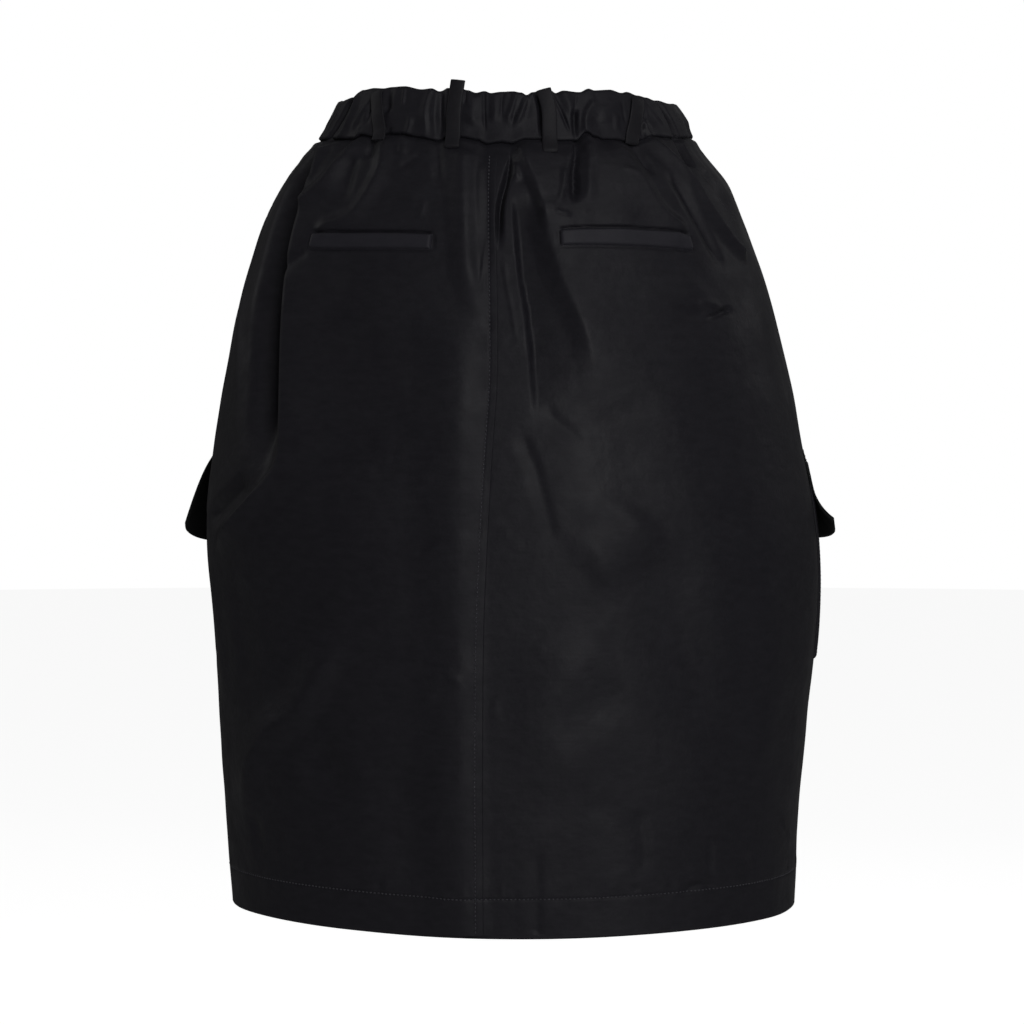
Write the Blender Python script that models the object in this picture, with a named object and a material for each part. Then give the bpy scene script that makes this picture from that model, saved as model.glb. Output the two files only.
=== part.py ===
# Balloon skirt with an elastic waistband, worn and filled out, hollow inside.
# The back faces -Y and +X is the wearer's right. The origin is the middle of the waistband, where
# the wearer holds it. Two measures place everything on the cloth:
#   turn: degrees round the skirt from the centre back, positive towards +X, 180 at the centre front
#   down: metres below the waist seam, negative on the waistband

from collections import namedtuple
import math

import bpy
import numpy as np

MM = 0.001

BAND_HEIGHT = 35 * MM
LENGTH = 550 * MM  # waist seam to hem at the centre
HEM_RISE = 6 * MM  # the hem is this much higher at the sides
WAIST_DIP = 5 * MM  # the waist is this much lower at the centre back
DIP_FADE = 60 * MM  # the dip is gone this far below the waist seam
SEAM_GAP = 0.3 * MM  # between two pieces that are sewn together
CLOTH = 1.2 * MM
BAND_WALL = 2.4 * MM  # elastic between two layers
HEM_HEIGHT = 27 * MM
HEM_WALL = 1.8 * MM  # the hem is turned up, so it is two layers
FORM_POWER = 2.2  # cross-section: 2 is an ellipse, more is squarer

WELT_TOP = 66 * MM
WELT_BOTTOM = 78 * MM
WELT_WALL = 1.4 * MM
FLAP_TOP = 222 * MM
POCKET_TOP = 230 * MM
FLAP_BOTTOM = 284 * MM
POCKET_BOTTOM = 372 * MM
POCKET_WALL = 1.4 * MM
FLAP_WALL = 1.6 * MM

LOOP_WIDTH = 10 * MM
LOOP_WALL = 1.4 * MM

PANEL_COLUMNS = 18
BAND_COLUMNS = 24
BAND_ROWS = 3
FOLD_FADE = 18 * MM  # no fold stands at the waist seam, and all have their full height this far below

# Half-sizes of the cross-section in millimetres, and the turns in degrees of the side seams and of the
# centre back seam, which drifts to the right towards the waist.
Section = namedtuple("Section", "down left right back front seam centre")
SECTIONS = (
    Section(-35, 122, 118, 86, 82, 70, 3.0),
    Section(-18, 128, 125, 90, 86, 72, 3.0),
    Section(0, 138, 131, 95, 90, 74, 3.0),
    Section(12, 151, 142, 105, 98, 76, 3.1),
    Section(28, 164, 154, 114, 105, 78, 3.2),
    Section(56, 179, 168, 124, 114, 81, 3.5),
    Section(85, 188, 178, 131, 121, 84, 3.9),
    Section(114, 196, 186, 138, 127, 86, 4.3),
    Section(172, 205, 200, 147, 136, 89, 4.5),
    Section(215, 212, 209, 152, 141, 90, 3.5),
    Section(287, 218, 222, 156, 145, 90, 2.2),
    Section(330, 215, 222, 155, 144, 90, 1.5),
    Section(417, 209, 213, 151, 141, 90, 1.0),
    Section(503, 203, 204, 146, 136, 90, 0.8),
    Section(550, 200, 204, 142, 133, 90, 0.7),
)

# A fold runs through three places. Width is from its middle to where it ends, and rise is how far it
# stands out, or sinks in where negative, both in millimetres. Turns are degrees, downs millimetres.
Fold = namedtuple("Fold", "name turn_1 down_1 turn_2 down_2 turn_3 down_3 width rise")
FOLDS = (
    Fold("left side edge", -55, 4, -60, 60, -53, 200, 26, 8),
    Fold("left hip roll", -50, 226, -57, 260, -68, 298, 22, 6),
    Fold("left side hollow", -71, 30, -64, 105, -57, 200, 24, -9),
    Fold("left waist hollow", -38, 6, -42, 30, -48, 52, 14, -4),
    Fold("left waist pleat", -26, 4, -29, 24, -36, 50, 12, 4),
    Fold("centre back roll", -9, 8, -6, 180, -4, 520, 22, 3),
    Fold("centre pleat", 8, 8, 5, 69, 12, 182, 13, -5),
    Fold("centre hollow", 11, 38, 17, 73, 27, 175, 24, -8),
    Fold("centre hollow edge", 15, 34, 31, 148, 38, 267, 20, 5),
    Fold("lower centre crease", 14, 202, 16, 250, 19, 294, 13, -4),
    Fold("right waist hollow", 33, 4, 29, 31, 27, 44, 12, -4),
    Fold("right inner edge", 50, 12, 54, 51, 59, 72, 13, 4),
    Fold("right waist trough", 61, 20, 65, 42, 71, 74, 13, -5),
    Fold("right side edge", 62, 2, 70, 25, 82, 82, 15, 5),
    Fold("right hip pinch", 48, 121, 61, 123, 68, 125, 13, -5),
    Fold("lower left roll", -36, 392, -60, 425, -75, 458, 38, 4),
    Fold("lower right hollow", 47, 300, 50, 380, 44, 470, 34, -4),
    Fold("front left edge", -112, 6, -122, 120, -118, 300, 26, 7),
    Fold("front left hollow", -138, 6, -142, 110, -136, 280, 24, -6),
    Fold("front centre pleat", 176, 6, 173, 70, 178, 210, 15, -5),
    Fold("front centre edge", -164, 6, -158, 90, -152, 240, 18, 5),
    Fold("front right hollow", 150, 6, 146, 120, 152, 300, 24, -6),
    Fold("front right edge", 120, 6, 116, 130, 124, 330, 26, 7),
)

# Rows of every panel: evenly spaced steps down to each height that a seam or an edge needs.
Stretch = namedtuple("Stretch", "bottom steps")
STRETCHES = (
    Stretch(WELT_TOP, 5),
    Stretch(WELT_BOTTOM, 1),
    Stretch(FLAP_TOP, 7),
    Stretch(POCKET_TOP, 1),
    Stretch(FLAP_BOTTOM, 3),
    Stretch(POCKET_BOTTOM, 4),
    Stretch(LENGTH - HEM_HEIGHT, 6),
    Stretch(LENGTH, 2),
)

# Each welt covers whole columns of its back panel, counted from the centre back.
Welt = namedtuple("Welt", "name panel first last")
WELTS = (Welt("welt_left", "back_left", 4, 12), Welt("welt_right", "back_right", 4, 13))
POCKET_COLUMNS = 4  # a side pocket runs this many columns forwards from the side seam

# Stand is how far the lower edge of the flap stands off at the side seam, in millimetres, and front
# is the share of it that is left at the front edge. Curve is the power of the line that it takes:
# 1 stands out from the top on, and more hangs close and stands out late.
Flap = namedtuple("Flap", "name pocket side stand front curve")
FLAPS = (
    Flap("flap_left", "pocket_left", -1, 17, 0.5, 1.1),
    Flap("flap_right", "pocket_right", 1, 13, 0.6, 2.0),
)

# A belt loop runs from above the waistband to below the seam. Turns are degrees, downs millimetres.
Loop = namedtuple("Loop", "name turn_top down_top turn_bottom down_bottom")
LOOPS = (
    Loop("loop_back_left", -52, -36, -46, 5),
    Loop("loop_centre_left", -16.5, -42, -14.5, 6),
    Loop("loop_centre_right", 22, -37, 22.5, 9),
    Loop("loop_back_right", 58, -36, 53, 8),
    Loop("loop_front_left", -146, -36, -147, 8),
    Loop("loop_front_right", 146, -36, 147, 8),
)
# Down the loop: share of the way, and how far its inner face lies off the cloth in millimetres.
LoopRow = namedtuple("LoopRow", "share off")
LOOP_ROWS = (
    LoopRow(0, 0.4),
    LoopRow(0.15, 0.5),
    LoopRow(0.35, 1.5),
    LoopRow(0.6, 1.5),
    LoopRow(0.8, 1.2),
    LoopRow(1, 1.1),
)

BLACK_TAFFETA = (0.011, 0.0105, 0.013, 1.0)
BLACK_WELT = (0.0135, 0.013, 0.0155, 1.0)
BLACK_FLAP = (0.006, 0.006, 0.007, 1.0)


def smooth(share):
    """Eases from 0 to 1."""
    share = np.clip(share, 0, 1)
    return share * share * (3 - 2 * share)


def height_at(turn, down):
    rise = HEM_RISE * np.sin(turn) ** 2 * np.clip(down / LENGTH, 0, 1) ** 2
    dip = WAIST_DIP * np.maximum(np.cos(turn), 0) ** 2 * (1 - smooth(down / DIP_FADE))
    return -BAND_HEIGHT / 2 - down + rise - dip


def sizes_at(down):
    """Half-sizes in metres and the seams' turns in radians, on a smooth curve through SECTIONS."""
    table = np.array(SECTIONS, float)
    downs = table[:, 0] * MM
    slopes = np.gradient(table[:, 1:], downs, axis=0)
    down = np.clip(down, downs[0], downs[-1])
    i = np.clip(np.searchsorted(downs, down) - 1, 0, len(downs) - 2)
    step = downs[i + 1] - downs[i]
    t = ((down - downs[i]) / step)[..., None]
    step = step[..., None]
    start, end = table[i, 1:], table[i + 1, 1:]
    start_slope, end_slope = slopes[i] * step, slopes[i + 1] * step
    value = (
        start * (2 * t**3 - 3 * t**2 + 1)
        + start_slope * (t**3 - 2 * t**2 + t)
        + end * (3 * t**2 - 2 * t**3)
        + end_slope * (t**3 - t**2)
    )
    left, right, back, front, seam, centre = np.moveaxis(value, -1, 0)
    return left * MM, right * MM, back * MM, front * MM, np.radians(seam), np.radians(centre)


def form_points(turn, down):
    """Points of the smooth form with no folds. Turn is in radians."""
    turn, down = np.broadcast_arrays(np.asarray(turn, float), np.asarray(down, float))
    left, right, back, front, _, _ = sizes_at(down)
    across, along = np.sin(turn), np.cos(turn)
    half_width = np.where(across < 0, left, right)
    half_depth = np.where(along > 0, back, front)
    radius = (abs(across / half_width) ** FORM_POWER + abs(along / half_depth) ** FORM_POWER) ** (
        -1 / FORM_POWER
    )
    return np.stack([radius * across, -radius * along, height_at(turn, down)], axis=-1)


def unit(vectors):
    return vectors / np.linalg.norm(vectors, axis=-1, keepdims=True)


def form_outward(turn, down):
    """Unit vectors that point out of the form."""
    small_turn, small_down = 0.002, 0.5 * MM
    round_it = form_points(turn + small_turn, down) - form_points(turn - small_turn, down)
    down_it = form_points(turn, down + small_down) - form_points(turn, down - small_down)
    return unit(np.cross(down_it, round_it))


def distance_to_segment(points, start, end):
    along = end - start
    share = np.clip(((points - start) @ along) / (along @ along), 0, 1)
    return np.linalg.norm(points - start - share[..., None] * along, axis=-1)


def fold_rise(points, down):
    """How far the folds move each point of the form outwards."""
    rise = np.zeros(points.shape[:-1])
    for fold in FOLDS:
        turns = np.radians([fold.turn_1, fold.turn_2, fold.turn_3])
        route = form_points(turns, np.array([fold.down_1, fold.down_2, fold.down_3]) * MM)
        distance = np.minimum(
            distance_to_segment(points, route[0], route[1]),
            distance_to_segment(points, route[1], route[2]),
        )
        rise += fold.rise * MM * smooth(1 - distance / (fold.width * MM))
    return rise * smooth(down / FOLD_FADE)


def cloth_points(turn, down):
    points = form_points(turn, down)
    rise = fold_rise(points, np.asarray(down, float))
    return points + form_outward(turn, down) * rise[..., None]


def cloth_outward(turn, down):
    """Unit vectors that point out of the folded cloth."""
    small_turn, small_down = 0.01, 2 * MM
    round_it = cloth_points(turn + small_turn, down) - cloth_points(turn - small_turn, down)
    down_it = cloth_points(turn, down + small_down) - cloth_points(turn, down - small_down)
    return unit(np.cross(down_it, round_it))


def panel_rows():
    rows = [SEAM_GAP]
    for stretch in STRETCHES:
        steps = np.linspace(rows[-1], stretch.bottom, stretch.steps + 1)
        rows.extend(steps[1:])
    return np.array(rows)


def row_number(down):
    return int(np.argmin(abs(panel_rows() - down)))


def seam_turn(down):
    return sizes_at(down)[4]


def centre_turn(down):
    return sizes_at(down)[5]


def gap_turn(turn, down):
    """Half a seam gap as a turn."""
    return SEAM_GAP / 2 / np.linalg.norm(form_points(turn, down)[..., :2], axis=-1)


def panel_grid(side):
    """Outer points of a panel, and which way is out: -1 is the back's left half, 1 its right, 0 the front."""
    down = panel_rows()
    seam, centre = seam_turn(down), centre_turn(down)
    gap, centre_gap = gap_turn(seam, down), gap_turn(centre, down)
    if side == 0:
        start, end = seam + gap, 2 * math.pi - seam - gap
    elif side > 0:
        start, end = centre + centre_gap, seam - gap
    else:
        start, end = gap - seam, centre - centre_gap
    share = np.linspace(0, 1, PANEL_COLUMNS + 1)
    turn = start[:, None] + share * (end - start)[:, None]
    down = np.repeat(down[:, None], len(share), axis=1)
    return cloth_points(turn, down), cloth_outward(turn, down)


def band_grid(start_turn, end_turn):
    """Outer points of a stretch of waistband, and which way is out, level so that its edges are flat."""
    down = np.linspace(-BAND_HEIGHT, 0, BAND_ROWS + 1)
    share = np.linspace(0, 1, BAND_COLUMNS + 1)
    start, end = start_turn(down), end_turn(down)
    turn = start[:, None] + share * (end - start)[:, None]
    down = np.repeat(down[:, None], len(share), axis=1)
    return form_points(turn, down), unit(form_outward(turn, down) * (1, 1, 0))


def add_material(name, colour, roughness):
    material = bpy.data.materials.new(name)
    material.use_nodes = True
    shader = material.node_tree.nodes["Principled BSDF"]
    shader.inputs["Base Color"].default_value = colour
    shader.inputs["Roughness"].default_value = roughness
    shader.inputs["Metallic"].default_value = 0.0
    material.diffuse_color = colour
    return material


def add_wall(name, outer, inner, colour, roughness=0.6):
    """A closed wall between two grids of the same size, rows downwards, columns of growing turn."""
    rows, columns = outer.shape[:2]
    points = np.concatenate([outer.reshape(-1, 3), inner.reshape(-1, 3)])
    number = np.arange(rows * columns).reshape(rows, columns)
    behind = number + rows * columns
    faces = []
    for r in range(rows - 1):
        for c in range(columns - 1):
            faces.append((number[r, c], number[r + 1, c], number[r + 1, c + 1], number[r, c + 1]))
            faces.append((behind[r, c], behind[r, c + 1], behind[r + 1, c + 1], behind[r + 1, c]))
    for r in range(rows - 1):
        faces.append((number[r, 0], behind[r, 0], behind[r + 1, 0], number[r + 1, 0]))
        faces.append((number[r, -1], number[r + 1, -1], behind[r + 1, -1], behind[r, -1]))
    for c in range(columns - 1):
        faces.append((number[0, c], number[0, c + 1], behind[0, c + 1], behind[0, c]))
        faces.append((number[-1, c], behind[-1, c], behind[-1, c + 1], number[-1, c + 1]))
    mesh = bpy.data.meshes.new(name)
    mesh.from_pydata(points.tolist(), [], [tuple(int(i) for i in face) for face in faces])
    mesh.shade_smooth()
    mesh.set_sharp_from_angle(angle=math.radians(50))
    mesh.materials.append(add_material(name, colour, roughness))
    piece = bpy.data.objects.new(name, mesh)
    bpy.context.scene.collection.objects.link(piece)
    return piece


def add_panel(name, side):
    """One panel of the skirt, thicker where the hem is turned up."""
    outer, outward = panel_grid(side)
    in_hem = panel_rows() > LENGTH - HEM_HEIGHT + SEAM_GAP
    wall = np.where(in_hem, HEM_WALL, CLOTH)[:, None, None]
    add_wall(name, outer, outer - outward * wall, BLACK_TAFFETA)
    return outer, outward


def add_band(name, start_turn, end_turn):
    outer, outward = band_grid(start_turn, end_turn)
    add_wall(name, outer, outer - outward * BAND_WALL, BLACK_TAFFETA)


def add_bands():
    def back_end(down):
        return seam_turn(down) - gap_turn(seam_turn(down), down)

    def front_start(down):
        return seam_turn(down) + gap_turn(seam_turn(down), down)

    add_band("waistband_back", lambda down: -back_end(down), back_end)
    add_band("waistband_front", front_start, lambda down: 2 * math.pi - front_start(down))


def add_welt(welt, panel):
    """A strip that lies on the panel over its pocket mouth."""
    rows = slice(row_number(WELT_TOP), row_number(WELT_BOTTOM) + 1)
    if welt.panel == "back_left":
        columns = slice(PANEL_COLUMNS - welt.last, PANEL_COLUMNS - welt.first + 1)
    else:
        columns = slice(welt.first, welt.last + 1)
    points, outward = panel[0][rows, columns], panel[1][rows, columns]
    inner = points + outward * SEAM_GAP
    add_wall(welt.name, inner + outward * WELT_WALL, inner, BLACK_WELT)


def add_side_pocket(flap, front):
    """The patch of a side pocket on the front panel, and its flap, which stands off lower down."""
    columns = slice(0, POCKET_COLUMNS + 1) if flap.side > 0 else slice(-POCKET_COLUMNS - 1, None)
    cloth, outward = front[0][:, columns], front[1][:, columns]

    patch = slice(row_number(POCKET_TOP), row_number(POCKET_BOTTOM) + 1)
    inner = cloth[patch] + outward[patch] * SEAM_GAP
    add_wall(flap.pocket, inner + outward[patch] * POCKET_WALL, inner, BLACK_TAFFETA)

    over = slice(row_number(FLAP_TOP), row_number(FLAP_BOTTOM) + 1)
    share_down = (panel_rows()[over, None] - FLAP_TOP) / (FLAP_BOTTOM - FLAP_TOP)
    share_along = np.linspace(1, flap.front, POCKET_COLUMNS + 1)[:: flap.side]
    clear_of_patch = np.where(share_down > 0, 2 * SEAM_GAP + POCKET_WALL, SEAM_GAP)
    off = clear_of_patch + flap.stand * MM * share_along * share_down**flap.curve
    inner = cloth[over] + outward[over] * off[..., None]
    add_wall(flap.name, inner + outward[over] * FLAP_WALL, inner, BLACK_FLAP, 0.8)


def add_loop(loop):
    """A strip that stands a little off the waistband and is sewn down at both ends."""
    share = np.array([row.share for row in LOOP_ROWS])
    off = np.array([row.off for row in LOOP_ROWS]) * MM
    turn = np.radians(loop.turn_top + share * (loop.turn_bottom - loop.turn_top))
    down = (loop.down_top + share * (loop.down_bottom - loop.down_top)) * MM
    middle = cloth_points(turn, down)
    outward = form_outward(turn, down)
    sideways = unit(np.cross(np.array([0, 0, 1]), outward)) * LOOP_WIDTH / 2
    middle = middle + outward * off[:, None]
    inner = np.stack([middle - sideways, middle + sideways], axis=1)
    add_wall(loop.name, inner + outward[:, None] * LOOP_WALL, inner, BLACK_WELT)


def clear_scene():
    for old in list(bpy.data.objects):
        bpy.data.objects.remove(old, do_unlink=True)


def main():
    clear_scene()
    add_bands()
    panels = {}
    for name, side in (("back_left", -1), ("back_right", 1), ("front", 0)):
        panels[name] = add_panel(name, side)
    for welt in WELTS:
        add_welt(welt, panels[welt.panel])
    for flap in FLAPS:
        add_side_pocket(flap, panels["front"])
    for loop in LOOPS:
        add_loop(loop)


main()
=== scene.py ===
import math

import bpy
import numpy as np
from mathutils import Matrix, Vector


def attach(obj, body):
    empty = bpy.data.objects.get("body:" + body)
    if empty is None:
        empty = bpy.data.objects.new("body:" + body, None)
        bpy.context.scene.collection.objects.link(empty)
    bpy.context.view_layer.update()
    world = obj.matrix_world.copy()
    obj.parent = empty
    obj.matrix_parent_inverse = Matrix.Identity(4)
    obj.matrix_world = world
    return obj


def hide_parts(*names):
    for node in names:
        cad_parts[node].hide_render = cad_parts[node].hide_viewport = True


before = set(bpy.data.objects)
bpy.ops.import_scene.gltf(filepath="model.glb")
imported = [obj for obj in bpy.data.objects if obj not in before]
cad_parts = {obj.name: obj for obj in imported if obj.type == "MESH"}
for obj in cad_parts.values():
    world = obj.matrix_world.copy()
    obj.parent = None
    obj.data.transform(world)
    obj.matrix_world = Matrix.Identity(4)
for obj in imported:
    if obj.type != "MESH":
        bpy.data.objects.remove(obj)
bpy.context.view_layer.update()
mm = 0.001

view = {
    "distance": 2.8,  # m, to the skirt's own axis
    "turn": 8,  # degrees round from the centre back
    "eyeHeight": -0.1313,  # m
    "aim": (0.0014, -0.2839),  # m to the right of the axis, and height
    "lens": 137.4,
    "sensor": 36,
}


def addCamera():
    turn = math.radians(view["turn"])
    rightWay = Vector((math.cos(turn), math.sin(turn), 0))
    backWay = Vector((math.sin(turn), -math.cos(turn), 0))
    aim = rightWay * view["aim"][0] + Vector((0, 0, view["aim"][1]))
    place = rightWay * view["aim"][0] + backWay * view["distance"] + Vector((0, 0, view["eyeHeight"]))
    camera = bpy.data.objects.new("camera", bpy.data.cameras.new("camera"))
    camera.data.lens = view["lens"]
    camera.data.sensor_width = view["sensor"]
    camera.location = place
    camera.rotation_euler = (aim - place).to_track_quat("-Z", "Y").to_euler()
    bpy.context.scene.collection.objects.link(camera)
    bpy.context.scene.camera = camera


def linear(hexColour):
    parts = [int(hexColour[i:i + 2], 16) / 255 for i in (0, 2, 4)]
    return [p / 12.92 if p <= 0.04045 else ((p + 0.055) / 1.055) ** 2.4 for p in parts] + [1]


def noiseScale(size):
    return 1 / (size * mm)


def waveScale(size):
    # the wave texture's bands repeat about every third of a unit at scale 1
    return noiseScale(size) / math.tau * 2


def addNode(tree, kind, links=(), **settings):
    # settings whose names are inputs go to the sockets, the others to the node itself
    node = tree.nodes.new(kind)
    for name, value in settings.items():
        if name in node.inputs:
            node.inputs[name].default_value = value
        else:
            setattr(node, name, value)
    for socket, source in dict(links).items():
        tree.links.new(source, node.inputs[socket])
    return node


def newMaterial(name):
    material = bpy.data.materials.new(name)
    material.use_nodes = True
    tree = material.node_tree
    return material, tree, tree.nodes["Principled BSDF"]


taffeta = {
    "roughness": 0.53,
    "roughnessSpread": 0.08,
    "specular": 0.17,
    "sheen": 0.01,
    "rib": 0.9,  # mm; real ribs are 0.25 mm apart, drawn coarser so that they show
    "slub": 11.1,  # mm, thicker and thinner stretches of the crosswise yarn
    "slubFlatness": 2.5,
    "crumple": 9,  # mm across, the small dents of a crisp cloth
    "patch": 26,  # mm across, where the gloss is stronger or weaker
    "finishes": {  # colour, colour where the yarn sits deeper, and how strongly the small dents show
        "black taffeta": ("26252a", "19181d", 0.25),
        # the welts' copy is painted lighter than the shell: painted highlight standing in for the light on
        # the welts
        "black taffeta with painted highlight": ("2e2d33", "26252b", 0.1),
        # the loops' copy is painted darker than the shell: painted shade, so that they keep the band's tone
        "black taffeta with painted shade": ("232226", "19181c", 0.15),
    },
}


def makeTaffeta(name):
    # plain-woven polyester, calendered smooth: a low, broad gloss on each fold, and fine crosswise ribs
    colour, shade, dentStrength = taffeta["finishes"][name]
    material, tree, shader = newMaterial(name)
    place = addNode(tree, "ShaderNodeTexCoord").outputs["Object"]
    flattened = addNode(tree, "ShaderNodeMapping", {"Vector": place}, Scale=(1, 1, taffeta["slubFlatness"]))
    slub = addNode(
        tree, "ShaderNodeTexNoise", {"Vector": flattened.outputs["Vector"]},
        Scale=noiseScale(taffeta["slub"]), Detail=3.0, Roughness=0.6,
    )
    mixed = addNode(
        tree, "ShaderNodeMix", {"Factor": slub.outputs["Fac"]},
        data_type="RGBA", A=linear(shade), B=linear(colour),
    )
    ribs = addNode(
        tree, "ShaderNodeTexWave", {"Vector": place}, wave_type="BANDS", bands_direction="Z",
        Scale=waveScale(taffeta["rib"]), Distortion=1.5, Detail=2.0, **{"Detail Scale": 2.0},
    )
    dents = addNode(
        tree, "ShaderNodeTexNoise", {"Vector": place},
        Scale=noiseScale(taffeta["crumple"]), Detail=2.5, Roughness=0.5,
    )
    ribBump = addNode(
        tree, "ShaderNodeBump", {"Height": ribs.outputs["Fac"]}, Strength=0.12, Distance=0.2 * mm,
    )
    dentBump = addNode(
        tree, "ShaderNodeBump", {"Height": dents.outputs["Fac"], "Normal": ribBump.outputs["Normal"]},
        Strength=dentStrength, Distance=2 * mm,
    )
    patches = addNode(
        tree, "ShaderNodeTexNoise", {"Vector": place}, Scale=noiseScale(taffeta["patch"]), Detail=2.0,
    )
    uneven = addNode(
        tree, "ShaderNodeMapRange", {"Value": patches.outputs["Fac"]},
        **{
            "From Min": 0.3, "From Max": 0.7,
            "To Min": taffeta["roughness"] - taffeta["roughnessSpread"],
            "To Max": taffeta["roughness"] + taffeta["roughnessSpread"],
        },
    )
    tree.links.new(mixed.outputs["Result"], shader.inputs["Base Color"])
    tree.links.new(uneven.outputs["Result"], shader.inputs["Roughness"])
    tree.links.new(dentBump.outputs["Normal"], shader.inputs["Normal"])
    shader.inputs["IOR"].default_value = 1.5
    shader.inputs["Specular IOR Level"].default_value = taffeta["specular"]
    shader.inputs["Sheen Weight"].default_value = taffeta["sheen"]
    shader.inputs["Sheen Roughness"].default_value = 0.4
    return material


mattCloth = {
    # darker than the taffeta: painted shade standing in for the shade on the flaps' edge-on and under faces
    "colour": "1c1d1d",
    "shade": "131414",  # between the fibres
    "roughness": 0.85,
    "specular": 0.15,
    "thread": 1.59,  # mm; real threads are 0.3 mm apart, drawn coarser so that they show
    "fibre": 1.43,  # mm
}


def makeMattCloth(name):
    # stiffened plain weave with a brushed face: no gloss, a fine grain of threads both ways; its colour is
    # painted darker than the taffeta, painted shade for the flaps' shaded faces
    material, tree, shader = newMaterial(name)
    place = addNode(tree, "ShaderNodeTexCoord").outputs["Object"]
    weave = addNode(tree, "ShaderNodeMath", operation="ADD")
    for socket, way in enumerate("ZY"):
        threads = addNode(
            tree, "ShaderNodeTexWave", {"Vector": place}, wave_type="BANDS", bands_direction=way,
            Scale=waveScale(mattCloth["thread"]), Distortion=2.0,
        )
        tree.links.new(threads.outputs["Fac"], weave.inputs[socket])
    bump = addNode(
        tree, "ShaderNodeBump", {"Height": weave.outputs["Value"]}, Strength=0.2, Distance=0.2 * mm,
    )
    fibres = addNode(
        tree, "ShaderNodeTexNoise", {"Vector": place}, Scale=noiseScale(mattCloth["fibre"]), Detail=2.0,
    )
    mixed = addNode(
        tree, "ShaderNodeMix", {"Factor": fibres.outputs["Fac"]},
        data_type="RGBA", A=linear(mattCloth["shade"]), B=linear(mattCloth["colour"]),
    )
    tree.links.new(mixed.outputs["Result"], shader.inputs["Base Color"])
    tree.links.new(bump.outputs["Normal"], shader.inputs["Normal"])
    shader.inputs["Roughness"].default_value = mattCloth["roughness"]
    shader.inputs["IOR"].default_value = 1.5
    shader.inputs["Specular IOR Level"].default_value = mattCloth["specular"]
    return material


sewingThread = {
    # lighter than the cloth: painted highlight standing in for the gloss on each stitch
    "colour": "37363c",
    "roughness": 0.4,
    "specular": 0.4,
    "twist": 0.64,  # mm from one turn of the plies to the next
}


def makeThread(name):
    # twisted polyester thread: a small, tight gloss on each stitch, and a base colour painted lighter than
    # the cloth as a painted highlight
    material, tree, shader = newMaterial(name)
    place = addNode(tree, "ShaderNodeTexCoord").outputs["Object"]
    twist = addNode(
        tree, "ShaderNodeTexWave", {"Vector": place}, wave_type="BANDS", bands_direction="DIAGONAL",
        Scale=waveScale(sewingThread["twist"]),
    )
    bump = addNode(tree, "ShaderNodeBump", {"Height": twist.outputs["Fac"]}, Strength=0.3, Distance=0.1 * mm)
    tree.links.new(bump.outputs["Normal"], shader.inputs["Normal"])
    shader.inputs["Base Color"].default_value = linear(sewingThread["colour"])
    shader.inputs["Roughness"].default_value = sewingThread["roughness"]
    shader.inputs["IOR"].default_value = 1.5
    shader.inputs["Specular IOR Level"].default_value = sewingThread["specular"]
    return material


shellCloth = makeTaffeta("black taffeta")
# the same taffeta painted lighter for the welts: painted highlight
weltClothPaintedLighter = makeTaffeta("black taffeta with painted highlight")
# the same taffeta painted darker for the loops: painted shade
loopClothPaintedDarker = makeTaffeta("black taffeta with painted shade")
# the flaps' matt cloth, its colour painted darker: painted shade
flapClothPaintedDark = makeMattCloth("matt black cloth with painted shade")
# black thread painted lighter: painted highlight on the stitches
threadPaintedLighter = makeThread("black polyester thread with painted highlight")
print("materials made")


form = {
    "bandHeight": 35,
    "length": 552,  # waist seam to hem
    "hemRise": 6,  # the hem is this much higher at the sides
    "waistDip": 5,  # the waist is this much lower at the centre back
    "dipFade": 60,  # and the dip is gone this far below the waist seam
    "power": 2.2,  # cross-section: 2 is an ellipse, more is squarer
    # down, half-sizes left, right, back and front, and the turns of the side seams and the centre back seam
    "sections": (
        (-35, 122, 118, 86, 82, 70, 3.0),
        (-18, 128, 125, 90, 86, 72, 3.0),
        (0, 138, 131, 95, 90, 74, 3.0),
        (12, 148, 138, 105, 98, 76, 3.1),
        (28, 160, 152, 114, 105, 78, 3.2),
        (56, 174, 166, 124, 114, 81, 3.5),
        (85, 184, 177, 131, 121, 84, 3.9),
        (114, 193, 186, 138, 127, 86, 4.3),
        (172, 205, 200, 147, 136, 89, 4.5),
        (215, 212, 208, 152, 141, 90, 3.5),
        (287, 218, 219.5, 156, 145, 90, 2.2),
        (330, 215, 220, 155, 144, 90, 1.5),
        (417, 209, 215, 151, 141, 90, 1.0),
        (503, 202.5, 206, 146, 136, 90, 0.8),
        (550, 200.5, 204.5, 142, 133, 90, 0.7),
    ),
}
sections = np.array(form["sections"], float)
sectionSlopes = np.gradient(sections[:, 1:], sections[:, 0], axis=0)


def smooth(share):
    share = np.clip(share, 0, 1)
    return share * share * (3 - 2 * share)


def sizesAt(down):
    # a smooth curve through the sections' sizes
    downs = sections[:, 0]
    down = np.clip(down, downs[0], downs[-1])
    i = np.clip(np.searchsorted(downs, down) - 1, 0, len(downs) - 2)
    step = downs[i + 1] - downs[i]
    t = ((down - downs[i]) / step)[..., None]
    step = step[..., None]
    value = (
        sections[i, 1:] * (2 * t**3 - 3 * t**2 + 1)
        + sectionSlopes[i] * step * (t**3 - 2 * t**2 + t)
        + sections[i + 1, 1:] * (3 * t**2 - 2 * t**3)
        + sectionSlopes[i + 1] * step * (t**3 - t**2)
    )
    return np.moveaxis(value, -1, 0)


def rightSide(down):
    return sizesAt(down)[4]


def leftSide(down):
    return -rightSide(down)


def leftSideRound(down):
    # the left side seam again, met by going on round the front
    return 360 - rightSide(down)


def centreTurn(down):
    return sizesAt(down)[5]


def waistDip(turn, down):
    atBack = np.maximum(np.cos(np.radians(turn)), 0) ** 2
    return form["waistDip"] * atBack * (1 - smooth(down / form["dipFade"]))


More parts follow.
